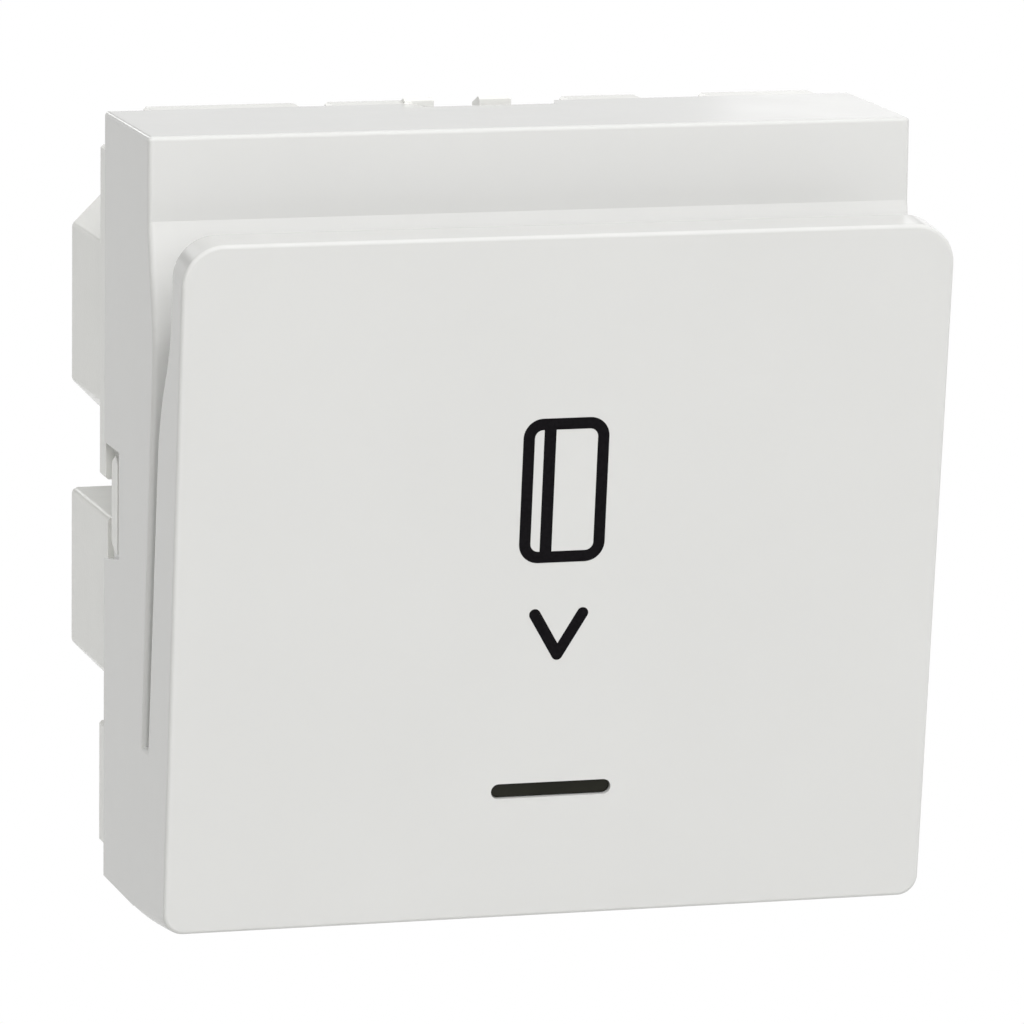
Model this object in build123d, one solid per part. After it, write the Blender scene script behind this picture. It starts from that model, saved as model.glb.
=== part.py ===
from build123d import *
import math
import os

# Hotel key card switch, a two-module wall insert. Millimetres and degrees.
# +X is right, +Y goes into the wall and +Z is up. The origin is the middle of the cover's
# rear plane, where the support frame sits. The guest sees the front, which faces -Y.

# Whole insert
module = 45.0
half = module / 2
overrun = 1.0              # how far a cut runs past the face it opens
slide_gap = 0.05           # radial clearance of a piece that turns or slides
seat_gap = 0.1             # clearance beside a piece that only sits in place
room = 0.3                 # clearance of a moving piece from what it passes

# Front cover: body, card slot and leaning front plate in one moulding
cover_wall = 1.8
body_depth = 11.0          # from the rear plane to the upper front face
upper_face_height = 4.8
ramp_height = 6.5          # the lead-in face between the upper front face and the slot
ramp_foot_radius = 6.0     # rounding where it turns into the slot
slot_floor_height = 9.8    # slot floor above the bottom edge
slot_back_depth = 9.92     # rear wall of the slot, at its floor
slot_width = 1.3
slot_back_lean = 6.2
slot_front_lean = 6.9
slot_wall = 1.5
slot_floor_wall = 1.2
slot_edge = 0.28           # edge rounding along the slot and its lead-in
plate_lean = 6.17
plate_foot_depth = 15.25
plate_slope = 40.3         # height of the front plate along its own face
plate_tip = 2.6            # thickness of the plate above the slot's lead-in
plate_wall = 1.8
lead_bend_height = 29.37   # where the slot's front wall turns forwards
lead_top_height = 34.04    # where it turns back up behind the plate's tip
lead_bend_radius = 12.3
lead_top_radius = 6.7
pocket_height = 28.5       # top of the hollow inside the plate
plate_top_radius = 2.4
plate_foot_radius = 1.25    # corner radius at the plate's foot
foot_start_radius = 0.1    # it grows from this radius, slowly at first
foot_start_depth = 7.8
foot_sections = 5
face_edge = 0.22           # edge rounding round the front face
body_edge = 0.25           # edge rounding of the upper body

# Locator light in the front plate
light_height = 7.62        # along the face, from its bottom edge
light_length = 7.1
light_width = 0.9
light_recess = 0.25
light_shoulder = 0.6       # how far the lens spreads behind the wall
light_shoulder_thickness = 0.8
light_pipe_width = 4.4
light_pipe_height = 1.3

# Window for the lever's nose, in the slot's rear wall
window_half_width = 4.3
window_top = -1.1
window_bottom = -10.0

# Notches in the cover's rear edge
side_notch_top = 3.25
side_notch_foot = 3.6
side_notch_foot_rise = 0.6
side_notch_depth = 3.75
side_ledge = 1.1           # the ledge that the snap hook catches
side_ledge_recess = 0.6
top_notch_half_width = 3.95
top_notch_depth = 1.45
top_notch_flare = 0.35

# Mounting frame: the flange behind the cover
flange = 1.6
flange_inset = 1.3         # how far the flange stands back between its tabs
tab_chamfer = 0.15
side_tab_shy = 0.1         # how far the side tabs stay inside the cover's side
top_tab_shares = [(-0.884, -0.482), (-0.404, -0.190), (0.227, 0.433), (0.605, 0.911)]
side_tab_shares = [(0.045, 0.905), (-0.925, -0.603)]
lug_shares = [(-0.209, -0.131), (-0.009, 0.076)]
lug_rise = 0.3
lug_drop = 0.5
lug_nose = 0.3

# Snap hooks that hold the cover
hook_half_height = 2.85
hook_arm = 1.2
hook_reach = 3.0
hook_head = 1.5
hook_shy = 0.1             # how far the head stays inside the cover's side
hook_chamfer = 0.5

# Lever carrier on the mounting frame
cheek_gap = 7.0            # half the space between the two cheeks
cheek = 1.4
cheek_reach = 9.1
cheek_foot = 1.0
cheek_rise = 2.0
cheek_nose = 6.2
shelf_height = 13.0
shelf = 1.4
shelf_reach = 5.6

# Card lever and its pin
pivot_depth = 7.4
pivot_height = 4.0
pin_radius = 1.0
pin_seat_gap = 0.02
lever_boss = 1.9
lever_half_width = 5.6
lever_web = 1.6
lever_web_top = 1.0
lever_foot = -9.0
lever_wall_gap = 0.15
nose_half_width = 4.0
nose_top = -1.6
nose_crest = -6.0
nose_corner = -7.6
nose_bottom = -8.7
nose_tip_gap = 0.15
pusher_half_width = 1.6
pusher_radius = 1.2
pusher_back = 2.0
pusher_height = -1.4
pusher_rib = 0.8
arm_half_width = 2.7
arm_top = 5.0
arm = 1.6
arm_back = 0.6

# Return spring over the lever's arm
spring_depth = 2.9
spring_radius = 1.75
spring_wire = 0.2
spring_turns = 6
spring_stud = 1.3
spring_stud_height = 0.8

# Changeover switch
switch_depth = 10.2
switch_half_height = 3.2
switch_centre = -1.0
switch_wall = 0.9
switch_lip = 0.5           # the frame's lip that the switch sits against
lip_width = 0.7
button_radius = 0.9
button_collar = 1.5
button_collar_thickness = 0.7
button_stem = 0.7
rail = 1.0
rail_half_height = 2.4
rail_hook = 0.8
strip = 0.8                # thickness of every current-carrying strip
blade_pivot_depth = 4.525
blade = 0.25
blade_half_height = 1.7
rivet_radius = 1.1
rivet = 0.5
contact_gap = 1.85
pivot_lip = 0.3
pivot_lip_reach = 0.5
tab_reach = 2.8            # how far the contacts stand out of the switch
long_tab_reach = 5.7

# Locator light board
board_height = 11.0
board_rise = 1.2           # how far the board stays above the cover's bottom wall
board_margin = 1.1         # board beside its pins
board_stand_off = 1.0
board = 1.6
peg_inset = 4.4            # the pegs' place from the board's sides and bottom
peg_rise = 2.5
peg_radius = 0.8
peg_boss = 1.6
peg_head = 1.3
peg_head_thickness = 0.7
lamp_half_width = 1.6
lamp_half_height = 1.2
lamp_thickness = 1.9
light_lamp_gap = 0.4
resistor_size = (3.2, 0.6, 1.6)
resistor_side = -6.0
diode_size = (4.3, 2.1, 2.6)
diode_side = 6.6
parts_rise = 6.5
board_pin_drop = 0.9       # the pins' place below the board's top
board_pin_radius = 0.4

# Rear housing and its terminal blocks
housing_depth = 22.0       # from the cover's rear plane
housing_half_width = 15.6
housing_half_height = 17.5
housing_wall = 1.4
housing_corner = 1.0
housing_edge = 0.4
block_width = 6.3
block_depth = 11.7
block_wall = 1.2
block_back_wall = 2.0
block_chamfer = 2.0
block_edge = 0.4
upper_block = (3.0, 16.3)
lower_block = (-12.8, -1.5)
upper_terminal = 9.5       # height of each block's terminal
lower_terminal = -6.7
wire_pitch = 5.4
wire_hole = 1.3
wire_funnel = 0.35
bar_start = 2.4
bar_end = 9.0
upper_bar_half_height = 3.7
lower_bar_half_height = 3.3
bridge_half_height = 2.0
riser_room = 1.5           # space between a riser and the housing's wall
riser_gap = 0.8            # space between a riser and the switch's rail
riser_half_height = 1.2
finger_half_height = 1.5

# Clamp springs and release buttons
clamp = 0.35
clamp_half_height = 3.5
clamp_start = 4.0
clamp_crest = 8.15         # depth of the bend's top
clamp_tip = 5.2
clamp_bar_gap = 0.3
clamp_bend = 0.9
release_radius = 1.0
release_collar = 1.4
release_collar_thickness = 0.6
release_stand = 0.5
release_gap = 0.03         # between the button's tip and the spring's bend

# Housing screws
screw_inset = 4.9          # the screws' place from the housing's top and bottom
screw_radius = 1.1
screw_head = 2.2
screw_head_thickness = 1.4
screw_slot = 0.6           # width of the cross recess in the head
screw_recess = 1.4         # half its length
screw_recess_depth = 0.7
screw_boss = 2.4
screw_boss_end = 5.0
screw_well = 2.6
screw_well_wall = 0.8
screw_well_floor = 1.2
screw_tip = 0.6


from_foot = (Align.CENTER, Align.CENTER, Align.MIN)


def block(x0, x1, y0, y1, z0, z1):
    """A box between two corners."""
    middle = Pos((x0 + x1) / 2, (y0 + y1) / 2, (z0 + z1) / 2)
    return middle * Box(abs(x1 - x0), abs(y1 - y0), abs(z1 - z0))


def side_plate(points, x0, x1):
    """A flat plate with its outline in the side view, as (depth, height) points."""
    outline = Polyline(*[(x0, y, z) for y, z in points], close=True)
    return extrude(make_face(outline), x1 - x0, dir=(1, 0, 0))


def front_plate(points, y0, y1):
    """A flat plate with its outline in the front view, as (side, height) points."""
    outline = Polyline(*[(x, y0, z) for x, z in points], close=True)
    return extrude(make_face(outline), y1 - y0, dir=(0, 1, 0))


def deep_rod(radius, x, z, y0, y1):
    """A round rod along the depth."""
    return Pos(x, y0, z) * Rot(X=-90) * Cylinder(radius, y1 - y0, align=from_foot)


def cross_rod(radius, y, z, x0, x1):
    """A round rod from side to side."""
    return Pos(x0, y, z) * Rot(Y=90) * Cylinder(radius, x1 - x0, align=from_foot)


def upright_rod(radius, x, y, z0, z1):
    """A round rod standing up."""
    return Pos(x, y, z0) * Cylinder(radius, z1 - z0, align=from_foot)


def tangent(angle):
    return math.tan(math.radians(angle))


def slot_back(z):
    """Depth of the slot's rear wall at a height."""
    return -slot_back_depth - (z - floor_z) * tangent(slot_back_lean)


def slot_front(z):
    """Depth of the slot's front wall at a height."""
    return -slot_back_depth - slot_width - (z - floor_z) * tangent(slot_front_lean)


def plate_front(z):
    """Depth of the front plate's face at a height."""
    return -plate_foot_depth - (z + half) * tangent(plate_lean)


def plate_inside(z, thickness):
    """Depth of a surface that lies a thickness behind the front plate's face."""
    return plate_front(z) + thickness / math.cos(math.radians(plate_lean))


floor_z = -half + slot_floor_height
step_z = half - upper_face_height
ramp_foot_z = step_z - ramp_height
lead_bend_z = -half + lead_bend_height
lead_top_z = -half + lead_top_height
pocket_z = -half + pocket_height
chamber_z = floor_z - slot_floor_wall
side_in = half - cover_wall
pivot = (-pivot_depth, pivot_height)
chamfer_share = math.sqrt(2) - 1    # how much a 45 degree chamfer shortens for each unit it is drawn in
switch_front = switch_lip
switch_back = switch_front + switch_depth
switch_floor = switch_centre - switch_half_height
switch_top = switch_centre + switch_half_height
strip_bottom = switch_floor + switch_wall
strip_top = switch_top - switch_wall
board_back = -board_stand_off
board_front = board_back - board
riser_side = housing_half_width - housing_wall - riser_room - strip
switch_half_length = riser_side - riser_gap - rail - 2 * seat_gap
switch_inside = switch_half_length - switch_wall
blade_pivot_side = switch_inside - room - strip - pivot_lip - 2 * slide_gap
blade_tip_side = switch_inside - strip - 4 * seat_gap
rivet_side = blade_tip_side - rivet_radius - 2 * seat_gap
common_side = -blade_pivot_side - 2 * slide_gap - pivot_lip - strip
closed_side = blade_tip_side + 2 * seat_gap
open_side = rivet_side - rivet_radius - seat_gap - strip
blade_front = blade_pivot_depth - blade / 2
blade_back = blade_pivot_depth + blade / 2
blade_low = switch_centre - blade_half_height
blade_high = switch_centre + blade_half_height
closed_face = blade_front - rivet - slide_gap
open_face = blade_back + rivet + contact_gap
tab_end = switch_back + tab_reach - strip
long_tab_end = switch_back + long_tab_reach - strip
board_pin_side = riser_side + strip / 2
board_half_width = board_pin_side + board_margin
board_bottom = -side_in + board_rise
board_top = board_bottom + board_height
board_pin_height = board_top - board_pin_drop
peg_side = board_half_width - peg_inset
peg_height = board_bottom + peg_rise
parts_height = board_bottom + parts_rise
screw_height = housing_half_height - screw_inset
block_side = housing_half_width + block_width
chamber_side = block_side - block_wall
wire_side = chamber_side - strip - wire_hole
clamp_leg = housing_half_width + clamp / 2 + slide_gap
release_side = clamp_leg + clamp_bend + release_radius + seat_gap
release_tip = clamp_crest + clamp / 2 + release_gap
block_back_inside = block_depth - block_back_wall


def face_plane():
    """The plane of the front face, with its origin at the middle of the bottom edge."""
    lean = math.radians(plate_lean)
    outwards = (0, -math.cos(lean), -math.sin(lean))
    return Plane(origin=(0, -plate_foot_depth, -half), x_dir=(1, 0, 0), z_dir=outwards)


def cover_outline():
    """The cover's side view. The slot's front wall swings forwards to guide the card in."""
    lean = math.radians(plate_lean)
    tip = (-plate_foot_depth - plate_slope * math.sin(lean), -half + plate_slope * math.cos(lean))
    tip_back = (tip[0] + plate_tip * math.cos(lean), tip[1] + plate_tip * math.sin(lean))
    lead = FilletPolyline(
        (0, slot_front(floor_z), floor_z),
        (0, slot_front(lead_bend_z), lead_bend_z),
        (0, plate_inside(lead_top_z, plate_tip), lead_top_z),
        (0, tip_back[0], tip_back[1]),
        radius=(lead_bend_radius, lead_top_radius),
    )
    ramp = FilletPolyline(
        (0, -body_depth, step_z),
        (0, slot_back(ramp_foot_z), ramp_foot_z),
        (0, slot_back(floor_z), floor_z),
        radius=ramp_foot_radius,
    )
    outside = Polyline(
        (0, tip_back[0], tip_back[1]),
        (0, tip[0], tip[1]),
        (0, -plate_foot_depth, -half),
        (0, 0, -half),
        (0, 0, half),
        (0, -body_depth, half),
        (0, -body_depth, step_z),
    )
    floor = Line((0, slot_back(floor_z), floor_z), (0, slot_front(floor_z), floor_z))
    return make_face([*lead.edges(), *ramp.edges(), *outside.edges(), floor])


def cover_hollow():
    """The space inside the body, under the slot and up inside the front plate."""
    top_in = half - cover_wall
    points = [
        (overrun, top_in),
        (-body_depth + slot_wall, top_in),
        (-body_depth + slot_wall, step_z),
        (slot_back(ramp_foot_z) + slot_wall, ramp_foot_z),
        (slot_back(floor_z) + slot_wall, floor_z),
        (slot_back(floor_z) + slot_wall, chamber_z),
        (slot_front(floor_z) - slot_wall, chamber_z),
        (slot_front(pocket_z) - slot_wall, pocket_z),
        (plate_inside(pocket_z, plate_wall), pocket_z),
        (plate_inside(-top_in, plate_wall), -top_in),
        (overrun, -top_in),
    ]
    return side_plate(points, -side_in, side_in)


def foot_corner(side):
    """What the rounding of a bottom corner takes away. It grows along the side to the front face."""
    sections = []
    length = plate_foot_depth + overrun - foot_start_depth
    for index in range(foot_sections):
        way = length * index / (foot_sections - 1)
        y = -foot_start_depth - way
        growth = (way / (plate_foot_depth - foot_start_depth)) ** 2
        radius = foot_start_radius + (plate_foot_radius - foot_start_radius) * growth
        inner = (side * (half - radius), y, -half)
        outer = (side * half, y, -half + radius)
        lower = (1 - math.sqrt(0.5)) * radius
        bow = ThreePointArc(inner, (side * (half - lower), y, -half + lower), outer)
        rest = Polyline(
            outer,
            (side * (half + overrun), y, -half + radius),
            (side * (half + overrun), y, -half - overrun),
            (side * (half - radius), y, -half - overrun),
            inner,
        )
        sections.append(make_face([bow, *rest.edges()]))
    return loft(sections)


def side_notch(side):
    """The notch in a side wall, where the snap hook shows. Its ledge is what the hook catches."""
    outline = [
        (overrun, side_notch_top),
        (-side_notch_depth, side_notch_top),
        (-side_notch_depth, -side_notch_foot + side_notch_foot_rise),
        (0, -side_notch_foot),
        (overrun, -side_notch_foot),
    ]
    through = side_plate(outline, side_in - overrun, half + overrun)
    ledge = block(
        side_in - 2 * overrun, half - side_ledge_recess,
        -side_ledge, 2 * overrun,
        -side_notch_foot - overrun, side_notch_top + overrun,
    )
    notch = through - ledge
    return notch if side > 0 else mirror(notch, about=Plane.YZ)


def top_notch(side):
    """The notch in the top or bottom edge, between the two clip lugs."""
    wide = top_notch_half_width + top_notch_flare
    outline = Polyline(
        (-wide, 0, side_in),
        (-top_notch_half_width, -top_notch_depth, side_in),
        (top_notch_half_width, -top_notch_depth, side_in),
        (wide, 0, side_in),
        (wide, overrun, side_in),
        (-wide, overrun, side_in),
        close=True,
    )
    notch = extrude(make_face(outline), cover_wall + overrun, dir=(0, 0, 1))
    return notch if side > 0 else mirror(notch, about=Plane.XY)


def along_slot(edge):
    """Whether an edge runs down the cover's side along the ramp, the slot or the plate's back."""
    place = edge.center()
    on_side = abs(place.X) > half - face_edge
    in_height = floor_z - slot_edge < place.Z < step_z
    behind_plate = place.Y > plate_inside(place.Z, plate_tip - slot_edge)
    return on_side and in_height and behind_plate and place.Y < -slot_back_depth


def on_upper_body(edge):
    """Whether an edge rounds the upper body, above the lead-in and away from the rear plane."""
    place = edge.center()
    return place.Z > step_z + overrun and -body_depth - overrun < place.Y < -overrun


def make_front_cover():
    """The body, the slot and the leaning plate, hollow from behind."""
    cover = extrude(cover_outline(), half, both=True)
    lean = math.radians(plate_lean)
    through_plate = Axis((0, 0, 0), (0, math.cos(lean), math.sin(lean)))
    cover = fillet(cover.edges().filter_by(through_plate), plate_top_radius)
    cover -= foot_corner(1)
    cover -= foot_corner(-1)
    cover = fillet([edge for edge in cover.edges() if along_slot(edge)], slot_edge)
    front_face = cover.faces().sort_by(Axis.Y)[0]
    cover = fillet(front_face.edges(), face_edge)
    cover = fillet([edge for edge in cover.edges() if on_upper_body(edge)], body_edge)
    cover -= cover_hollow()
    window = side_plate(
        [
            (slot_back(window_top) - slot_width / 2, window_top),
            (slot_back(window_top) + slot_wall + overrun, window_top),
            (slot_back(window_bottom) + slot_wall + overrun, window_bottom),
            (slot_back(window_bottom) - slot_width / 2, window_bottom),
        ],
        -window_half_width,
        window_half_width,
    )
    cover -= window
    light = face_plane() * Pos(0, light_height) * SlotOverall(light_length, light_width)
    cover -= extrude(light, plate_wall + overrun, both=True)
    for side in (1, -1):
        cover -= side_notch(side)
        cover -= top_notch(side)
    return cover


def make_light_guide():
    """Smoked lens in the plate's slot, a shoulder behind the wall and a pipe back to the lamp."""
    plane = face_plane() * Pos(0, light_height)
    lens_length = light_length - 2 * slide_gap
    lens_width = light_width - 2 * slide_gap
    lens_foot = plane * Pos(0, 0, -plate_wall)
    lens = extrude(lens_foot * SlotOverall(lens_length, lens_width), plate_wall - light_recess)
    shoulder_length = light_length + 2 * light_shoulder
    shoulder_width = light_width + 2 * light_shoulder
    shoulder_foot = plane * Pos(0, 0, -plate_wall - light_shoulder_thickness)
    shoulder = extrude(shoulder_foot * Rectangle(shoulder_length, shoulder_width), light_shoulder_thickness)
    centre = (plane * Pos(0, 0, -plate_wall - light_shoulder_thickness / 2)).position
    pipe = block(
        -light_pipe_width / 2, light_pipe_width / 2,
        centre.Y, board_front - lamp_thickness - light_lamp_gap,
        centre.Z - light_pipe_height / 2, centre.Z + light_pipe_height / 2,
    )
    return lens + shoulder + pipe


def share_span(shares):
    return [share * half for share in shares]


def tab_plate(along_top, low, high, side):
    """One tab of the flange, flush with the cover at the top, with its outer corners cut off."""
    inner = half - flange_inset - overrun
    outer = half if along_top else half - side_tab_shy
    points = [
        (low, inner),
        (low, outer - tab_chamfer),
        (low + tab_chamfer, outer),
        (high - tab_chamfer, outer),
        (high, outer - tab_chamfer),
        (high, inner),
    ]
    if along_top:
        return front_plate([(x, side * z) for x, z in points], 0, flange)
    return front_plate([(side * z, x) for x, z in points], 0, flange)


def clip_lug(low, high, side):
    """A lug that snaps behind the support frame. Its top slopes down to the rear."""
    crest = half + lug_rise
    points = [
        (0, half - flange_inset - overrun),
        (0, crest - lug_nose / 2),
        (lug_nose, crest),
        (flange, crest - lug_drop),
        (flange, half - flange_inset - overrun),
    ]
    return side_plate([(y, side * z) for y, z in points], low, high)


def snap_hook(side):
    """The arm behind the cover's side wall, with its head in the notch."""
    arm_out = side_in - room
    arm_body = block(arm_out - hook_arm, arm_out, -hook_reach, overrun, -hook_half_height, hook_half_height)
    outline = [
        (-hook_reach + hook_chamfer, hook_half_height),
        (-hook_reach + hook_head, hook_half_height - hook_chamfer),
        (-hook_reach + hook_head, -hook_half_height + hook_chamfer),
        (-hook_reach + hook_chamfer, -hook_half_height),
        (-hook_reach, -hook_half_height),
        (-hook_reach, hook_half_height - hook_chamfer),
    ]
    head = side_plate(outline, arm_out - hook_arm / 2, half - hook_shy)
    hook = arm_body + head
    return hook if side > 0 else mirror(hook, about=Plane.YZ)


def carrier_cheek(side):
    """One of the two cheeks that hold the lever's pin."""
    outline = [
        (overrun, cheek_foot),
        (0, cheek_foot),
        (-cheek_reach, cheek_rise),
        (-cheek_reach, cheek_nose),
        (-shelf_reach, shelf_height + shelf),
        (overrun, shelf_height + shelf),
    ]
    start = cheek_gap if side > 0 else -cheek_gap - cheek
    return side_plate(outline, start, start + cheek)


def switch_rail(side):
    """A rail beside the switch, with a hook behind its rear face."""
    inner = switch_half_length + 2 * seat_gap
    beam = block(inner, inner + rail, 0, switch_back + seat_gap + rail, -rail_half_height, rail_half_height)
    hook = block(
        inner - rail_hook, inner + rail / 2,
        switch_back + seat_gap, switch_back + seat_gap + rail,
        -rail_half_height, rail_half_height,
    )
    piece = Pos(0, 0, switch_centre) * (beam + hook)
    return piece if side > 0 else mirror(piece, about=Plane.YZ)


def make_mounting_frame():
    edge = half - flange_inset
    frame = block(-edge, edge, 0, flange, -edge, edge)
    for side in (1, -1):
        for shares in top_tab_shares:
            frame += tab_plate(True, *share_span(shares), side)
        for shares in side_tab_shares:
            frame += tab_plate(False, *share_span(shares), side)
        for shares in lug_shares:
            frame += clip_lug(*share_span(shares), side)
        frame += snap_hook(side)
        frame += carrier_cheek(side)
    shelf_top = shelf_height + shelf
    cheek_out = cheek_gap + cheek
    stud_foot = shelf_height - spring_stud_height
    frame += block(-cheek_out, cheek_out, -shelf_reach, overrun, shelf_height, shelf_top)
    frame += upright_rod(spring_stud, 0, -spring_depth, stud_foot, shelf_top - shelf / 2)
    head_back = board_front - seat_gap
    head_front = head_back - peg_head_thickness
    pin_hole = board_pin_radius + seat_gap
    screw_hole = screw_radius + pin_seat_gap
    for side in (1, -1):
        screw_z = side * screw_height
        peg_x = side * peg_side
        pin_x = side * board_pin_side
        frame += switch_rail(side)
        frame += deep_rod(screw_boss, 0, screw_z, 0, screw_boss_end)
        frame -= deep_rod(screw_hole, 0, screw_z, -overrun, screw_boss_end + overrun)
        frame += deep_rod(peg_boss, peg_x, peg_height, board_back, flange / 2)
        frame += deep_rod(peg_radius, peg_x, peg_height, head_front, 0)
        frame += deep_rod(peg_head, peg_x, peg_height, head_front, head_back)
        frame -= deep_rod(pin_hole, pin_x, board_pin_height, -overrun, flange + overrun)
    for inset, start in ((-seat_gap, switch_lip), (lip_width, -overrun)):
        reach = switch_half_length - inset
        low = switch_floor + inset
        high = switch_top - inset
        frame -= block(-reach, reach, start, flange + overrun, low, high)
    frame -= cross_rod(pin_radius + pin_seat_gap, *pivot, -half, half)
    return frame


def lever_web_face(z):
    """Depth of the lever's front face, just behind the slot's rear wall."""
    return slot_back(z) + slot_wall + lever_wall_gap


def make_card_lever():
    """The lever: boss on the pin, web behind the slot, nose across it, pusher and spring arm."""
    y, z = pivot
    lever = cross_rod(lever_boss, y, z, -cheek_gap + room, cheek_gap - room)
    web = [
        (lever_web_face(lever_web_top), lever_web_top),
        (y - lever_boss / 2, z),
        (y + lever_boss / 2, z),
        (lever_web_face(lever_web_top) + lever_web, lever_web_top),
        (lever_web_face(lever_foot) + lever_web, lever_foot),
        (lever_web_face(lever_foot), lever_foot),
    ]
    lever += side_plate(web, -lever_half_width, lever_half_width)
    nose = [
        (lever_web_face(nose_top) + lever_web / 2, nose_top),
        (lever_web_face(nose_top), nose_top),
        (slot_front(nose_crest) + nose_tip_gap, nose_crest),
        (slot_front(nose_corner) + nose_tip_gap, nose_corner),
        (lever_web_face(nose_bottom), nose_bottom),
        (lever_web_face(nose_bottom) + lever_web / 2, nose_bottom),
    ]
    lever += side_plate(nose, -nose_half_width, nose_half_width)
    pusher = [
        (lever_web_face(pusher_height + pusher_radius) + lever_web / 2, pusher_height + pusher_radius),
        (-pusher_back, pusher_height + pusher_radius),
        (-pusher_back, pusher_height - pusher_radius),
        (lever_web_face(pusher_height - pusher_radius) + lever_web / 2, pusher_height - pusher_radius),
    ]
    lever += side_plate(pusher, -pusher_half_width, pusher_half_width)
    lever += cross_rod(pusher_radius, -pusher_back, pusher_height, -pusher_half_width, pusher_half_width)
    lever += block(-arm_half_width, arm_half_width, y, -arm_back, arm_top - arm, arm_top)
    rib = [
        (y + lever_boss / 2, arm_top - arm / 2),
        (-pusher_back - pusher_radius, arm_top - arm / 2),
        (-pusher_back - pusher_radius, pusher_height),
        (lever_web_face(pusher_height) + lever_web / 2, pusher_height),
    ]
    lever += side_plate(rib, -pusher_rib / 2, pusher_rib / 2)
    lever += upright_rod(spring_stud, 0, -spring_depth, arm_top - arm / 2, arm_top + spring_stud_height)
    lever -= cross_rod(pin_radius + slide_gap, y, z, -half, half)
    return lever


def make_lever_pin():
    return cross_rod(pin_radius, *pivot, -cheek_gap - cheek, cheek_gap + cheek)


def make_return_spring():
    """Helical spring between the lever's arm and the shelf above it."""
    length = shelf_height - arm_top - 2 * spring_wire - 2 * slide_gap
    path = Helix(length / spring_turns, length, spring_radius)
    wire = Plane(origin=path @ 0, z_dir=path % 0) * Circle(spring_wire)
    return Pos(0, -spring_depth, arm_top + spring_wire + slide_gap) * sweep(wire, path=path, is_frenet=True)


def make_switch_case():
    """The lower half of the changeover switch: floor and walls, open on top."""
    length = switch_half_length
    case = block(-length, length, switch_front, switch_back, switch_floor, strip_top)
    case -= block(
        -switch_inside, switch_inside,
        switch_front + switch_wall, switch_back - switch_wall,
        switch_floor + switch_wall, switch_top,
    )
    button_hole = button_radius + slide_gap
    case -= deep_rod(button_hole, 0, switch_centre, -overrun, switch_front + switch_wall + overrun)
    for start in (common_side, closed_side, open_side):
        case -= block(
            start - slide_gap, start + strip + slide_gap,
            switch_back - switch_wall - overrun, switch_back + overrun,
            strip_bottom, switch_top,
        )
    return case


def make_switch_cover():
    return block(-switch_half_length, switch_half_length, switch_front, switch_back, strip_top, switch_top)


def make_switch_button():
    """The plunger between the lever's pusher and the contact blade."""
    tip = -pusher_back + pusher_radius + slide_gap
    inside = switch_front + switch_wall
    collar_back = inside + seat_gap + button_collar_thickness
    button = deep_rod(button_radius, 0, switch_centre, tip, inside + seat_gap)
    button += deep_rod(button_collar, 0, switch_centre, inside + seat_gap, collar_back)
    button += deep_rod(button_stem, 0, switch_centre, inside, blade_front - slide_gap)
    return button


def make_contact_blade():
    """The moving contact: a strip that turns on a round bead, with a rivet that faces both ways."""
    start = -blade_pivot_side - pivot_lip + slide_gap
    leaf = block(start, blade_tip_side, blade_front, blade_back, blade_low, blade_high)
    head = deep_rod(rivet_radius, rivet_side, switch_centre, blade_front - rivet, blade_back + rivet)
    bead = upright_rod(blade / 2 + slide_gap, -blade_pivot_side, blade_pivot_depth, blade_low, blade_high)
    return leaf + head + bead


def make_common_contact():
    """The strip that the blade rocks on, between two lips."""
    lip_gap = 2 * slide_gap
    start = blade_front - slide_gap - 2 * pivot_lip
    edge = common_side + strip
    piece = block(common_side, edge, start, tab_end, strip_bottom, strip_top)
    lip_start = edge - strip / 2
    lip_end = edge + pivot_lip + pivot_lip_reach
    front_lip = (start + pivot_lip, blade_front - lip_gap)
    back_lip = (blade_back + lip_gap, blade_back + lip_gap + pivot_lip)
    for lip in (front_lip, back_lip):
        piece += block(lip_start, lip_end, *lip, blade_low, blade_high)
    return piece


def make_closed_contact():
    """The contact that the blade rests on while no card is in."""
    back = closed_face - rivet
    piece = block(
        rivet_side - rivet_radius - seat_gap, closed_side + strip,
        back - strip, back,
        strip_bottom, strip_top,
    )
    piece += block(
        closed_side, closed_side + strip,
        back - strip, tab_end,
        strip_bottom, strip_top,
    )
    return piece + deep_rod(rivet_radius, rivet_side, switch_centre, back, closed_face)


def make_open_contact():
    """The contact that closes when the card pushes the lever back."""
    front = open_face + rivet
    end = rivet_side + rivet_radius + seat_gap
    piece = block(open_side, end, front, front + strip, strip_bottom, strip_top)
    piece += block(open_side, open_side + strip, front, long_tab_end, strip_bottom, strip_top)
    return piece + deep_rod(rivet_radius, rivet_side, switch_centre, open_face, front)


def make_circuit_board():
    piece = block(-board_half_width, board_half_width, board_front, board_back, board_bottom, board_top)
    for side in (1, -1):
        piece -= deep_rod(
            peg_radius + slide_gap, side * peg_side, peg_height, board_front - overrun, board_back + overrun
        )
        piece -= deep_rod(
            board_pin_radius + pin_seat_gap, side * board_pin_side, board_pin_height,
            board_front - overrun, board_back + overrun,
        )
    return piece


def on_board(size, x, z):
    """A part soldered on the board's front. Its size is its width, thickness and height."""
    width, thickness, height = size
    return block(
        x - width / 2, x + width / 2,
        board_front - thickness, board_front,
        z - height / 2, z + height / 2,
    )


def light_centre_height():
    plane = face_plane() * Pos(0, light_height)
    return (plane * Pos(0, 0, -plate_wall - light_shoulder_thickness / 2)).position.Z


def make_lamp():
    size = (2 * lamp_half_width, lamp_thickness, 2 * lamp_half_height)
    return on_board(size, 0, light_centre_height())


def make_dropper_resistor():
    return on_board(resistor_size, resistor_side, parts_height)


def make_rectifier_diode():
    return on_board(diode_size, diode_side, parts_height)


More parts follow.
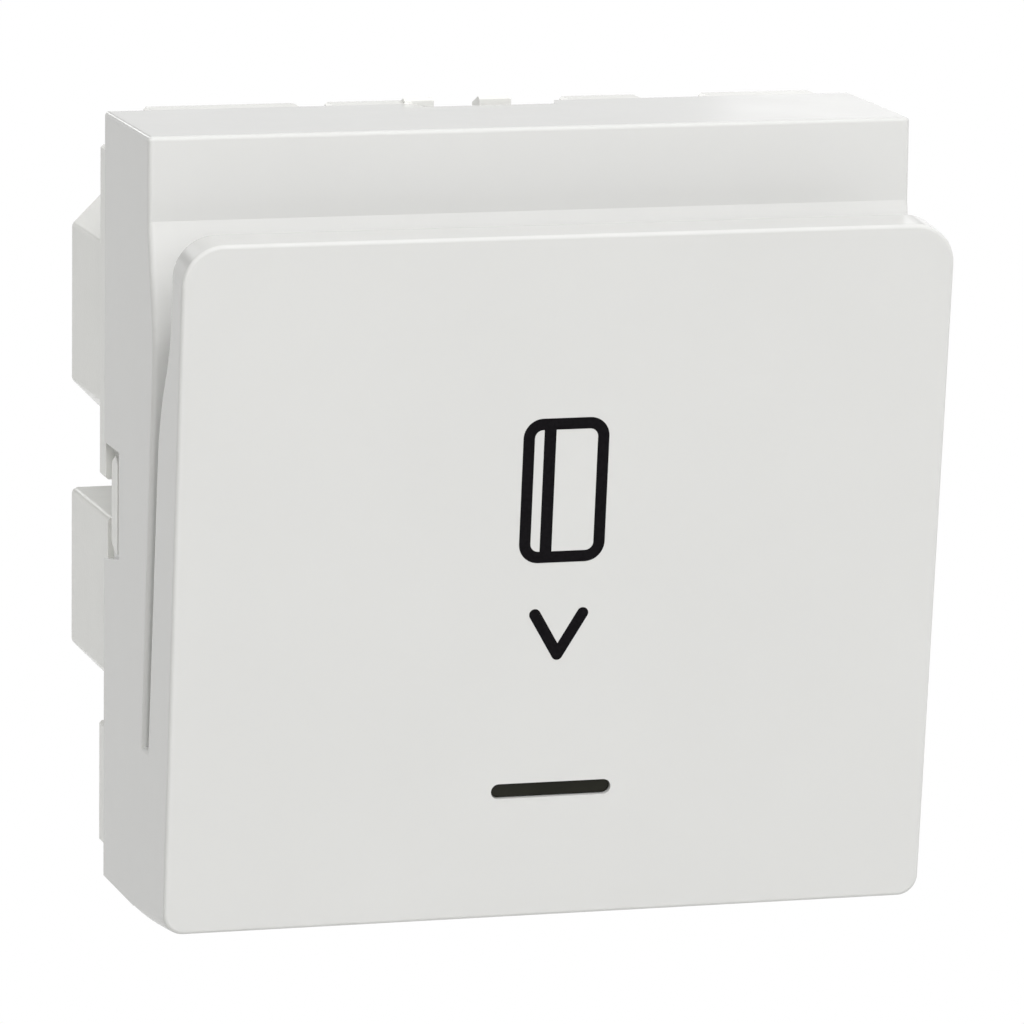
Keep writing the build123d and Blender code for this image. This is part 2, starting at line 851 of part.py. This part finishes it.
def make_board_pins():
    """Two pins from the board back to the lower terminal bars."""
    pins = []
    for side in (1, -1):
        x = side * board_pin_side
        pins.append(deep_rod(board_pin_radius, x, board_pin_height, board_front, bar_start))
    return pins


def block_outline(upper, inset):
    """Outline of a right-hand terminal block in the front view, drawn in by a wall."""
    low, high = upper_block if upper else lower_block
    cut = block_chamfer - inset * chamfer_share
    side = block_side - inset
    top_cut = cut if upper else 0
    inner = housing_half_width - (0 if inset else housing_wall / 2)
    bottom = low + inset
    top = high - inset
    points = [(inner, bottom), (side - cut, bottom), (side, bottom + cut), (side, top - top_cut)]
    if top_cut:
        points.append((side - top_cut, top))
    points.append((inner, top))
    return points


def on_block_outside(place):
    """Whether an edge's middle is on a terminal block's free outside."""
    return place.X > housing_half_width and place.Y > flange + overrun


def make_rear_housing():
    """The shell behind the flange, open to the front, with two terminal blocks at each side."""
    width = housing_half_width
    height = housing_half_height
    shell = block(-width, width, flange, housing_depth, -height, height)
    shell = fillet(shell.edges().filter_by(Axis.Y), housing_corner)
    shell = fillet(shell.faces().sort_by(Axis.Y)[-1].edges(), housing_edge)
    for upper in (True, False):
        piece = front_plate(block_outline(upper, 0), flange, block_depth)
        outer = piece.edges().filter_by(lambda edge: on_block_outside(edge.center()))
        piece = fillet(outer, block_edge)
        shell += piece + mirror(piece, about=Plane.YZ)
    inner_width = width - housing_wall
    inner_height = height - housing_wall
    hollow_end = housing_depth - housing_wall
    shell -= block(-inner_width, inner_width, flange - overrun, hollow_end, -inner_height, inner_height)
    for upper in (True, False):
        chamber = front_plate(block_outline(upper, block_wall), flange - overrun, block_back_inside)
        shell -= chamber + mirror(chamber, about=Plane.YZ)
        centre = upper_terminal if upper else lower_terminal
        slot_height = bridge_half_height + seat_gap
        for side in (1, -1):
            shell -= block(
                side * (inner_width - overrun), side * (width + overrun / 2),
                flange - overrun, bar_start + strip,
                centre - slot_height, centre + slot_height,
            )
            through = (block_back_inside - overrun, block_depth + overrun)
            shell -= deep_rod(release_radius + slide_gap, side * release_side, centre, *through)
            for step in (1, -1):
                z = centre + step * wire_pitch / 2
                shell -= deep_rod(wire_hole, side * wire_side, z, *through)
                funnel = Cone(wire_hole, wire_hole + wire_funnel, wire_funnel, align=from_foot)
                shell -= Pos(side * wire_side, block_depth - wire_funnel, z) * Rot(X=-90) * funnel
    for side in (1, -1):
        z = side * screw_height
        shell += deep_rod(screw_well + screw_well_wall, 0, z, screw_boss_end, hollow_end + overrun / 2)
        shell -= deep_rod(screw_well, 0, z, screw_boss_end + screw_well_floor, housing_depth + overrun)
        shell -= deep_rod(screw_radius + room, 0, z, flange, housing_depth)
    return shell


def make_housing_screws():
    """Two pan-head screws, their heads down in the housing's wells."""
    screws = []
    seat = screw_boss_end + screw_well_floor
    top = seat + screw_head_thickness
    slot_floor = top - screw_recess_depth
    for side in (1, -1):
        z = side * screw_height
        screw = deep_rod(screw_radius, 0, z, screw_tip, seat)
        screw += deep_rod(screw_head, 0, z, seat, top)
        for half_x, half_z in ((screw_recess, screw_slot / 2), (screw_slot / 2, screw_recess)):
            screw -= block(-half_x, half_x, slot_floor, top + overrun, z - half_z, z + half_z)
        screws.append(screw)
    return screws


def make_terminal_bar(upper, right, target=None, reach=0):
    """Brass strip against the block's outer wall, bridged into the housing.

    target is the side of the switch contact that it meets, and reach the depth of its finger.
    """
    centre = upper_terminal if upper else lower_terminal
    height = upper_bar_half_height if upper else lower_bar_half_height
    low = centre - bridge_half_height
    high = centre + bridge_half_height
    bar = block(chamber_side - strip, chamber_side, bar_start, bar_end, centre - height, centre + height)
    inner = riser_side if target is not None else housing_half_width - housing_wall - strip
    bar += block(inner, chamber_side, bar_start, bar_start + strip, low, high)
    if target is not None:
        near = centre - riser_half_height
        far = centre + riser_half_height
        bar += block(riser_side, riser_side + strip, bar_start, reach, near, far)
        finger_low = switch_centre - finger_half_height
        finger_high = switch_centre + finger_half_height
        span = [near, far, finger_low, finger_high]
        stand = reach - 2 * riser_half_height
        bar += block(riser_side, riser_side + strip, stand, reach, min(span), max(span))
        bar += block(target, riser_side + strip, reach - strip, reach, finger_low, finger_high)
    if not upper:
        foot = board_pin_height - 2 * board_pin_radius
        bar += block(riser_side, riser_side + strip, bar_start, bar_start + strip, foot, centre)
    return bar if right else mirror(bar, about=Plane.YZ)


def make_clamp_spring(upper, right):
    """Leaf spring: a leg on the partition, a bend and a tongue that bites the wire."""
    centre = upper_terminal if upper else lower_terminal
    low = centre - clamp_half_height
    bend_x = clamp_leg + clamp_bend
    bend_y = clamp_crest - clamp_bend
    tip_x = chamber_side - strip - clamp_bar_gap - clamp / 2
    reach = math.hypot(tip_x - bend_x, clamp_tip - bend_y)
    down = math.atan2(clamp_tip - bend_y, tip_x - bend_x)
    end = down + math.acos(clamp_bend / reach)
    on_bend = [
        (bend_x + clamp_bend * math.cos(angle), bend_y + clamp_bend * math.sin(angle), low)
        for angle in (math.pi, (math.pi + end) / 2, end)
    ]
    leg = Line((clamp_leg, clamp_start, low), on_bend[0])
    tongue = Line(on_bend[2], (tip_x, clamp_tip, low))
    outline = Wire([leg, ThreePointArc(*on_bend), tongue]).offset_2d(clamp / 2, side=Side.BOTH)
    spring = extrude(make_face(outline), 2 * clamp_half_height, dir=(0, 0, 1))
    return spring if right else mirror(spring, about=Plane.YZ)


def make_release_button(upper, right):
    """Button that pushes the tongue away from the wire, pressed from behind."""
    centre = upper_terminal if upper else lower_terminal
    side = release_side if right else -release_side
    collar_back = block_back_inside - seat_gap
    collar_front = collar_back - release_collar_thickness
    button = deep_rod(release_radius, side, centre, release_tip, block_depth + release_stand)
    return button + deep_rod(release_collar, side, centre, collar_front, collar_back)


NODES = {
    "front_cover": make_front_cover(),
    "light_guide": make_light_guide(),
    "mounting_frame": make_mounting_frame(),
    "rear_housing": make_rear_housing(),
    "housing_screws": make_housing_screws(),
    "card_lever": make_card_lever(),
    "lever_pin": make_lever_pin(),
    "return_spring": make_return_spring(),
    "switch_case": make_switch_case(),
    "switch_cover": make_switch_cover(),
    "switch_button": make_switch_button(),
    "contact_blade": make_contact_blade(),
    "common_contact": make_common_contact(),
    "closed_contact": make_closed_contact(),
    "open_contact": make_open_contact(),
    "circuit_board": make_circuit_board(),
    "lamp": make_lamp(),
    "dropper_resistor": make_dropper_resistor(),
    "rectifier_diode": make_rectifier_diode(),
    "board_pins": make_board_pins(),
    "terminal_bar_upper_left": make_terminal_bar(True, False),
    "terminal_bar_upper_right": make_terminal_bar(True, True, closed_side + strip, tab_end),
    "terminal_bar_lower_left": make_terminal_bar(False, False, -common_side, tab_end),
    "terminal_bar_lower_right": make_terminal_bar(False, True, open_side + strip, long_tab_end),
}
for upper in (True, False):
    for right in (True, False):
        place = ("upper" if upper else "lower") + "_" + ("right" if right else "left")
        NODES["clamp_spring_" + place] = make_clamp_spring(upper, right)
        NODES["release_button_" + place] = make_release_button(upper, right)

os.makedirs("parts", exist_ok=True)
for name, piece in NODES.items():
    solids = piece if isinstance(piece, list) else [piece]
    export_step(Compound(children=[s for p in solids for s in p.solids()]), f"parts/{name}.step")
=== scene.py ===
import math

import bpy
from mathutils import Matrix, Vector


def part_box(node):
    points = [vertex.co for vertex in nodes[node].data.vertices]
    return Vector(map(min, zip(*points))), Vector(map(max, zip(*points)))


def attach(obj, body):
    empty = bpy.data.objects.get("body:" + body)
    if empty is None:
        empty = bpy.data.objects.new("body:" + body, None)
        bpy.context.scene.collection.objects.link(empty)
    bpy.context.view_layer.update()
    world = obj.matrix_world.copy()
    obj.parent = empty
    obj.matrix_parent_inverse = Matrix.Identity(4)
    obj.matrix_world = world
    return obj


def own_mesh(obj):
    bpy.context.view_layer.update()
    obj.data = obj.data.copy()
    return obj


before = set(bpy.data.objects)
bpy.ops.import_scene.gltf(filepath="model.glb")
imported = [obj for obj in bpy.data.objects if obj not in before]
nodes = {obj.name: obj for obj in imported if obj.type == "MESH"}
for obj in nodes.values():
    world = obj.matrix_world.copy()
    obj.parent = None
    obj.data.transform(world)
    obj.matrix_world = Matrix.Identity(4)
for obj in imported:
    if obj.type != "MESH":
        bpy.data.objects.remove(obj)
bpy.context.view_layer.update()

# Hotel key card switch, a two-module wall insert. Metres, radians and watts, +Z up, the front faces -Y.

# The leaning front face, whose bottom edge is the zero of every height along it
cover_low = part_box("front_cover")[0]
face_lean = math.radians(6.17)
face_foot_depth = 0.01525

# Camera, at the photograph's angle
camera_place = (-0.119296, -0.426204, 0.081445)
camera_azimuth = math.radians(-15.895)
camera_elevation = math.radians(10.647)
camera_roll = math.radians(0.699)
camera_lens = 269.42  # millimetres

# Printed card symbol and arrow
ink_height = 0.000012
ink_sink = 0.00001
ink_edge = 0.000006
symbol_left = -0.00252
symbol_right = 0.00252
symbol_bottom = 0.02118
symbol_top = 0.02968
symbol_corner = 0.00115
symbol_stroke = 0.00067
stripe_left = -0.0013
stripe_right = -0.0006
arrow_points = ((-0.00141, 0.01812), (0, 0.01571), (0.00141, 0.01812))
arrow_stroke = 0.00067
arc_steps = 12

# Places of the terminal clamp springs
terminal_places = ("upper_left", "upper_right", "lower_left", "lower_right")

# Noise in the materials, with scales in features per metre. Patches vary the colour, polish the
# roughness, and grain, waves and lines the height.
noise_low = 0.3  # most of it lies between these two
noise_high = 0.7
along_x = (0.1, 1, 1)  # stretches it to lines
along_y = (1, 0.2, 1)
along_z = (1, 1, 0.15)

# Moulded plastics
plastic_patches = 90
plastic_shade = 0.985  # of the colour, in the darker patches
plastic_polish = 260
plastic_waves = 75
frame_white = (0.95, 0.95, 0.925)
plastics = {
    "cover_gloss": {
        "colour": (0.785, 0.785, 0.778), "roughness": (0.11, 0.16),
        "grain": 1800, "grain_height": 0.0000012, "wave_height": 0.00002,
    },
    "frame_plastic": {
        "colour": frame_white, "roughness": (0.19, 0.26),
        "grain": 4200, "grain_height": 0.000006,
    },
    "housing_plastic": {
        "colour": frame_white, "roughness": (0.19, 0.26),
        "grain": 4200, "grain_height": 0.000008,
    },
    "lever_plastic": {
        "colour": (0.74, 0.74, 0.72), "roughness": (0.3, 0.42),
        "grain": 4000, "grain_height": 0.000005,
    },
    "switch_plastic": {
        "colour": (0.03, 0.03, 0.031), "roughness": (0.36, 0.5),
        "grain": 5200, "grain_height": 0.000006,
    },
    "plunger_plastic": {
        "colour": (0.42, 0.035, 0.03), "roughness": (0.28, 0.4),
        "grain": 5200, "grain_height": 0.000004,
    },
    "button_plastic": {
        "colour": (0.33, 0.34, 0.35), "roughness": (0.3, 0.42),
        "grain": 5200, "grain_height": 0.000005,
    },
    "lamp_plastic": {
        "colour": (0.72, 0.69, 0.52), "roughness": (0.12, 0.2),
        "grain": 5200, "grain_height": 0.000002,
    },
    "component_plastic": {
        "colour": (0.035, 0.035, 0.036), "roughness": (0.4, 0.55),
        "grain": 6000, "grain_height": 0.000004,
    },
}

# Metals
metal_patches = 400
metal_shade = 0.86
metal_lines = 2600
metal_line_height = 0.000003
metals = {
    "rolled_brass": {"colour": (0.60, 0.41, 0.16), "roughness": (0.24, 0.4), "stretch": along_x},
    "spring_steel": {"colour": (0.48, 0.48, 0.50), "roughness": (0.22, 0.36), "stretch": along_z},
    "pin_steel": {"colour": (0.50, 0.50, 0.51), "roughness": (0.16, 0.28), "stretch": along_x},
    "screw_steel": {"colour": (0.56, 0.56, 0.55), "roughness": (0.26, 0.42), "stretch": along_y},
}

# The board's green coating with its paler tracks, the dark plastic of the light window, and black ink
coats = {
    "board_coat": {
        "shades": ((0.012, 0.10, 0.035), (0.03, 0.19, 0.07)),
        "patches": {"scale": 420, "detail": 0, "stretch": (1, 1, 3)},
        "polish": 1500, "roughness": (0.35, 0.5),
        "grain": {"scale": 3000, "detail": 1}, "grain_height": 0.000008,
        "sockets": {"Coat Weight": 0.35, "Coat Roughness": 0.2},
    },
    "smoked_lens": {
        "shades": ((0.012, 0.012, 0.008), (0.020, 0.020, 0.014)),
        "patches": {"scale": 300},
        "polish": 900, "roughness": (0.14, 0.24),
        "grain": {"scale": 1200, "detail": 1}, "grain_height": 0.000002,
        "sockets": {"Specular IOR Level": 0.14},
    },
    "print_ink": {
        "shades": ((0.004, 0.0034, 0.0044), (0.008, 0.007, 0.0085)),
        "patches": {"scale": 5000},
        "polish": 7000, "roughness": (0.32, 0.48),
        "grain": {"scale": 9000, "detail": 2}, "grain_height": 0.0000015,
        "sockets": {"Specular IOR Level": 0.06},
    },
}

# The material of every node, by how the node's name starts
material_by_start = {
    "front_cover": "cover_gloss",
    "light_guide": "smoked_lens",
    "mounting_frame": "frame_plastic",
    "rear_housing": "housing_plastic",
    "housing_screws": "screw_steel",
    "card_lever": "lever_plastic",
    "lever_pin": "pin_steel",
    "return_spring": "spring_steel",
    "switch_case": "switch_plastic",
    "switch_cover": "switch_plastic",
    "switch_button": "plunger_plastic",
    "contact_blade": "rolled_brass",
    "common_contact": "rolled_brass",
    "closed_contact": "rolled_brass",
    "open_contact": "rolled_brass",
    "circuit_board": "board_coat",
    "lamp": "lamp_plastic",
    "dropper_resistor": "component_plastic",
    "rectifier_diode": "component_plastic",
    "board_pins": "rolled_brass",
    "terminal_bar": "rolled_brass",
    "clamp_spring": "spring_steel",
    "release_button": "button_plastic",
}

# Studio. In gloss it has a white horizon, a dim band above it, and a ceiling.
white = (1, 1, 1)
white_level = 1
world_colour = (1, 1, 0.955)  # of the light that it casts
world_level = 0.34
horizon_end = math.radians(6)
band_start = math.radians(12)
band_end = math.radians(14)
band_level = 0.33
ceiling_start = math.radians(20)
ceiling_level = 1.1

# Floor
floor_drop = 0.12
floor_size = 6.0
floor_colour = (0.62, 0.62, 0.61)
floor_roughness = 0.9
floor_white_share = 0.5
shadow_reach = 0.16  # it turns plain white from here
white_reach = 0.36  # to here

# Lamps: a wide one high in front, a weak one lower down, and two behind, which the top face and its
# left edge mirror
lamp_target = (0, 0, 0)
lamps = {
    "high_box": {"place": (0.10, -0.62, 0.98), "size": (1.3, 1.3), "power": 10.9, "in_gloss": False},
    "front_box": {"place": (0.0, -1.05, 0.40), "size": (0.62, 0.62), "power": 3.07, "in_gloss": False},
    "back_box": {"place": (0.62, 1.0, 0.36), "size": (0.6, 0.5), "power": 0.305, "in_gloss": True},
    "edge_box": {"place": (-0.14, 1.0, 0.31), "size": (0.24, 0.09), "power": 0.17, "in_gloss": True},
}


def face_matrix():
    """The front face: x to the right, y up along the face, z out of it."""
    up = Vector((0, -math.sin(face_lean), math.cos(face_lean)))
    right = Vector((1, 0, 0))
    out = right.cross(up)
    turn = Matrix((right, up, out)).transposed().to_4x4()
    return Matrix.Translation((0, -face_foot_depth, cover_low.z)) @ turn


def arc(centre, radius, start, end):
    """Points on an arc, from one angle to another."""
    x, y = centre
    angles = [start + (end - start) * step / arc_steps for step in range(arc_steps + 1)]
    return [(x + radius * math.cos(angle), y + radius * math.sin(angle)) for angle in angles]


def rounded_box(left, right, bottom, top, radius, square_left=False, square_right=False):
    """Outline of a rectangle with round corners, or square ones at a side."""
    quarter = math.pi / 2
    corners = (
        (right, bottom, -1, 1, -quarter),
        (right, top, -1, -1, 0),
        (left, top, 1, -1, quarter),
        (left, bottom, 1, 1, 2 * quarter),
    )
    points = []
    for x, y, inwards, upwards, start in corners:
        square = square_right if x == right else square_left
        if square:
            points.append((x, y))
        else:
            points += arc((x + inwards * radius, y + upwards * radius), radius, start, start + quarter)
    return points


def thick_line(points, width):
    """Outline of a bent line with round ends and a round outer corner at its bend."""
    radius = width / 2
    first, bend, last = [Vector(point) for point in points]
    down = (bend - first).normalized()
    rise = (last - bend).normalized()
    down_angle = math.atan2(down.y, down.x)
    rise_angle = math.atan2(rise.y, rise.x)
    quarter = math.pi / 2
    inner = (rise - down).normalized() * radius / math.sin(down.angle(-rise) / 2)
    outline = arc(bend, radius, down_angle - quarter, rise_angle - quarter)
    outline += arc(last, radius, rise_angle - quarter, rise_angle + quarter)
    outline.append(tuple(bend + inner))
    outline += arc(first, radius, down_angle + quarter, down_angle + 3 * quarter)
    return outline


def make_print(name, loops, ink):
    """A flat print on the front face, cut out by closed outlines."""
    curve = bpy.data.curves.new(name + "_outline", "CURVE")
    curve.dimensions = "2D"
    curve.fill_mode = "BOTH"
    curve.extrude = (ink_height + ink_sink) / 2 - ink_edge
    curve.bevel_depth = ink_edge
    curve.offset = -ink_edge
    for loop in loops:
        spline = curve.splines.new("POLY")
        spline.points.add(len(loop) - 1)
        for point, (x, y) in zip(spline.points, loop):
            point.co = (x, y, 0, 1)
        spline.use_cyclic_u = True
    shape = bpy.data.objects.new(name + "_shape", curve)
    bpy.context.scene.collection.objects.link(shape)
    mesh = bpy.data.meshes.new_from_object(shape)
    bpy.data.objects.remove(shape)
    mesh.transform(face_matrix() @ Matrix.Translation((0, 0, (ink_height - ink_sink) / 2)))
    piece = bpy.data.objects.new(name, mesh)
    bpy.context.scene.collection.objects.link(piece)
    piece.data.materials.append(ink)
    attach(piece, "base")


def make_prints(ink):
    outer = rounded_box(symbol_left, symbol_right, symbol_bottom, symbol_top, symbol_corner)
    bottom = symbol_bottom + symbol_stroke
    top = symbol_top - symbol_stroke
    left = symbol_left + symbol_stroke
    right = symbol_right - symbol_stroke
    inner_corner = symbol_corner - symbol_stroke
    beside_stripe = rounded_box(left, stripe_left, bottom, top, inner_corner, square_right=True)
    inside = rounded_box(stripe_right, right, bottom, top, inner_corner, square_left=True)
    make_print("card_symbol", [outer, beside_stripe, inside], ink)
    make_print("arrow_symbol", [thick_line(arrow_points, arrow_stroke)], ink)


def shorten_spring(name):
    """The spring gets a mesh of its own."""
    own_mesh(nodes[name])


def shorten_springs():
    shorten_spring("return_spring")
    for place in terminal_places:
        shorten_spring("clamp_spring_" + place)


class Shader:
    """A material's nodes around its one principled shader."""

    def __init__(self, name, sockets=None):
        self.material = bpy.data.materials.new(name)
        self.material.use_nodes = True
        self.tree = self.material.node_tree
        self.shader = self.tree.nodes["Principled BSDF"]
        self.place = self.add("TexCoord").outputs["Object"]
        for socket, value in (sockets or {}).items():
            self.shader.inputs[socket].default_value = value

    def add(self, kind):
        return self.tree.nodes.new("ShaderNode" + kind)

    def noise(self, scale, detail=3.0, stretch=(1, 1, 1)):
        """Noise, which is longer along an axis the smaller its stretch value is."""
        mapping = self.add("Mapping")
        mapping.inputs["Scale"].default_value = stretch
        self.tree.links.new(self.place, mapping.inputs["Vector"])
        noise = self.add("TexNoise")
        noise.inputs["Scale"].default_value = scale
        noise.inputs["Detail"].default_value = detail
        self.tree.links.new(mapping.outputs["Vector"], noise.inputs["Vector"])
        return noise.outputs["Fac"]

    def spread(self, noise, low, high):
        """A noise spread over a range."""
        remap = self.add("MapRange")
        limits = {"From Min": noise_low, "From Max": noise_high, "To Min": low, "To Max": high}
        for socket, limit in limits.items():
            remap.inputs[socket].default_value = limit
        self.tree.links.new(noise, remap.inputs["Value"])
        return remap.outputs["Result"]

    def colour(self, noise, first, second):
        """A colour that goes from one to another with a noise."""
        mix = self.add("Mix")
        mix.data_type = "RGBA"
        mix.inputs["A"].default_value = (*first, 1)
        mix.inputs["B"].default_value = (*second, 1)
        self.tree.links.new(self.spread(noise, 0, 1), mix.inputs["Factor"])
        self.tree.links.new(mix.outputs["Result"], self.shader.inputs["Base Color"])

    def roughness(self, noise, low, high):
        """A roughness that goes from low to high with a noise."""
        self.tree.links.new(self.spread(noise, low, high), self.shader.inputs["Roughness"])

    def bump(self, *layers):
        """Stacked bumps, each a noise and how tall it is."""
        normal = None
        for noise, height in layers:
            bump = self.add("Bump")
            bump.inputs["Strength"].default_value = 1
            bump.inputs["Distance"].default_value = height
            self.tree.links.new(noise, bump.inputs["Height"])
            if normal:
                self.tree.links.new(normal, bump.inputs["Normal"])
            normal = bump.outputs["Normal"]
        self.tree.links.new(normal, self.shader.inputs["Normal"])


def shaded(colour, share):
    return tuple(channel * share for channel in colour)


def plastic(name, colour, roughness, grain, grain_height, wave_height=0):
    """Moulded plastic: fine grain, a slow wave of the skin, and a roughness that varies."""
    made = Shader(name)
    made.colour(made.noise(plastic_patches, detail=2), shaded(colour, plastic_shade), colour)
    made.roughness(made.noise(plastic_polish), *roughness)
    layers = [(made.noise(grain), grain_height)]
    if wave_height:
        layers.append((made.noise(plastic_waves, detail=1), wave_height))
    made.bump(*layers)
    return made.material


def metal(name, colour, roughness, stretch):
    """Drawn or rolled metal, its fine lines stretched along one axis."""
    made = Shader(name, {"Metallic": 1})
    lines = made.noise(metal_lines, detail=4, stretch=stretch)
    made.colour(made.noise(metal_patches), shaded(colour, metal_shade), colour)
    made.roughness(lines, *roughness)
    made.bump((lines, metal_line_height))
    return made.material


def coat(name, shades, patches, polish, roughness, grain, grain_height, sockets):
    """Patches of two shades, a fine grain, and a roughness that varies."""
    made = Shader(name, sockets)
    made.colour(made.noise(**patches), *shades)
    made.roughness(made.noise(polish), *roughness)
    made.bump((made.noise(**grain), grain_height))
    return made.material


def make_materials():
    materials = {}
    for make, table in ((plastic, plastics), (metal, metals), (coat, coats)):
        for name, values in table.items():
            materials[name] = make(name, **values)
    return materials


def dress_nodes(materials):
    for name, node in nodes.items():
        start = next(start for start in material_by_start if name.startswith(start))
        node.data.materials.clear()
        node.data.materials.append(materials[material_by_start[start]])


def make_camera():
    data = bpy.data.cameras.new("camera")
    data.lens = camera_lens
    flat = math.cos(camera_elevation)
    back = Vector((
        math.sin(camera_azimuth) * flat,
        -math.cos(camera_azimuth) * flat,
        math.sin(camera_elevation),
    ))
    right = Vector((math.cos(camera_azimuth), math.sin(camera_azimuth), 0))
    up = back.cross(right)
    turn = Matrix((right, up, back)).transposed() @ Matrix.Rotation(camera_roll, 3, "Z")
    camera = bpy.data.objects.new("camera", data)
    camera.matrix_world = Matrix.Translation(camera_place) @ turn.to_4x4()
    bpy.context.scene.collection.objects.link(camera)
    bpy.context.scene.camera = camera


def ray_kinds(tree, *kinds):
    """1 for a ray of any of these kinds, and else 0."""
    path = tree.nodes.new("ShaderNodeLightPath")
    seen = path.outputs[kinds[0]]
    for kind in kinds[1:]:
        either = tree.nodes.new("ShaderNodeMath")
        either.operation = "MAXIMUM"
        tree.links.new(seen, either.inputs[0])
        tree.links.new(path.outputs[kind], either.inputs[1])
        seen = either.outputs[0]
    return seen


def smooth_step(tree, value, start, end, before, after):
    """A smooth change from one level to another as a value goes from start to end."""
    step = tree.nodes.new("ShaderNodeMapRange")
    step.interpolation_type = "SMOOTHSTEP"
    limits = {"From Min": start, "From Max": end, "To Min": before, "To Max": after}
    for socket, limit in limits.items():
        step.inputs[socket].default_value = limit
    tree.links.new(value, step.inputs["Value"])
    return step.outputs["Result"]


def mixed_level(tree, factor, first, second):
    """The first level where the factor is 0, and the second where it is 1."""
    mix = tree.nodes.new("ShaderNodeMix")
    tree.links.new(factor, mix.inputs["Factor"])
    for socket, level in (("A", first), ("B", second)):
        if isinstance(level, (int, float)):
            mix.inputs[socket].default_value = level
        else:
            tree.links.new(level, mix.inputs[socket])
    return mix.outputs["Result"]


def make_world():
    """Even studio light. Seen directly it is white, and gloss shows the studio."""
    world = bpy.data.worlds.new("studio")
    bpy.context.scene.world = world
    world.use_nodes = True
    tree = world.node_tree
    background = tree.nodes["Background"]
    direction = tree.nodes.new("ShaderNodeTexCoord").outputs["Generated"]
    split = tree.nodes.new("ShaderNodeSeparateXYZ")
    tree.links.new(direction, split.inputs["Vector"])
    height = split.outputs["Z"]
    low = smooth_step(tree, height, math.sin(horizon_end), math.sin(band_start), white_level, band_level)
    high = smooth_step(tree, height, math.sin(band_end), math.sin(ceiling_start), 0, 1)
    sky = mixed_level(tree, high, low, ceiling_level)
    level = mixed_level(tree, ray_kinds(tree, "Is Glossy Ray", "Is Transmission Ray"), world_level, sky)
    level = mixed_level(tree, ray_kinds(tree, "Is Camera Ray"), level, white_level)
    tree.links.new(level, background.inputs["Strength"])
    tint = tree.nodes.new("ShaderNodeMix")
    tint.data_type = "RGBA"
    tint.inputs["A"].default_value = (*world_colour, 1)
    tint.inputs["B"].default_value = (*white, 1)
    plain = ray_kinds(tree, "Is Camera Ray", "Is Glossy Ray", "Is Transmission Ray")
    tree.links.new(plain, tint.inputs["Factor"])
    tree.links.new(tint.outputs["Result"], background.inputs["Color"])


def make_floor():
    """A pale floor. Seen directly it is part white of its own, so that only the shadow shows on it."""
    bpy.ops.mesh.primitive_plane_add(size=floor_size, location=(0, 0, cover_low.z - floor_drop))
    floor = bpy.context.object
    floor.name = "floor"
    material = bpy.data.materials.new("floor_paint")
    material.use_nodes = True
    tree = material.node_tree
    shader = tree.nodes["Principled BSDF"]
    shader.inputs["Base Color"].default_value = (*floor_colour, 1)
    shader.inputs["Roughness"].default_value = floor_roughness
    glow = tree.nodes.new("ShaderNodeEmission")
    glow.inputs["Color"].default_value = (*white, 1)
    mix = tree.nodes.new("ShaderNodeMixShader")
    place = tree.nodes.new("ShaderNodeTexCoord")
    away = tree.nodes.new("ShaderNodeVectorMath")
    away.operation = "LENGTH"
    tree.links.new(place.outputs["Object"], away.inputs[0])
    fade = smooth_step(tree, away.outputs["Value"], shadow_reach, white_reach, floor_white_share, 1)
    seen = ray_kinds(tree, "Is Camera Ray", "Is Glossy Ray", "Is Transmission Ray")
    tree.links.new(mixed_level(tree, seen, 0, fade), mix.inputs["Fac"])
    tree.links.new(shader.outputs["BSDF"], mix.inputs[1])
    tree.links.new(glow.outputs["Emission"], mix.inputs[2])
    tree.links.new(mix.outputs["Shader"], tree.nodes["Material Output"].inputs["Surface"])
    floor.data.materials.append(material)


def make_lamp(name, place, size, power, in_gloss):
    data = bpy.data.lights.new(name, "AREA")
    data.shape = "RECTANGLE"
    data.size, data.size_y = size
    data.energy = power
    lamp = bpy.data.objects.new(name, data)
    lamp.visible_glossy = in_gloss
    lamp.location = place
    lamp.rotation_mode = "QUATERNION"
    lamp.rotation_quaternion = (Vector(lamp_target) - Vector(place)).to_track_quat("-Z", "Y")
    bpy.context.scene.collection.objects.link(lamp)


def make_lamps():
    for name, values in lamps.items():
        make_lamp(name, **values)


made_materials = make_materials()
dress_nodes(made_materials)
make_prints(made_materials["print_ink"])
shorten_springs()
make_world()
make_floor()
make_lamps()
make_camera()
bpy.context.scene.view_settings.view_transform = "Standard"
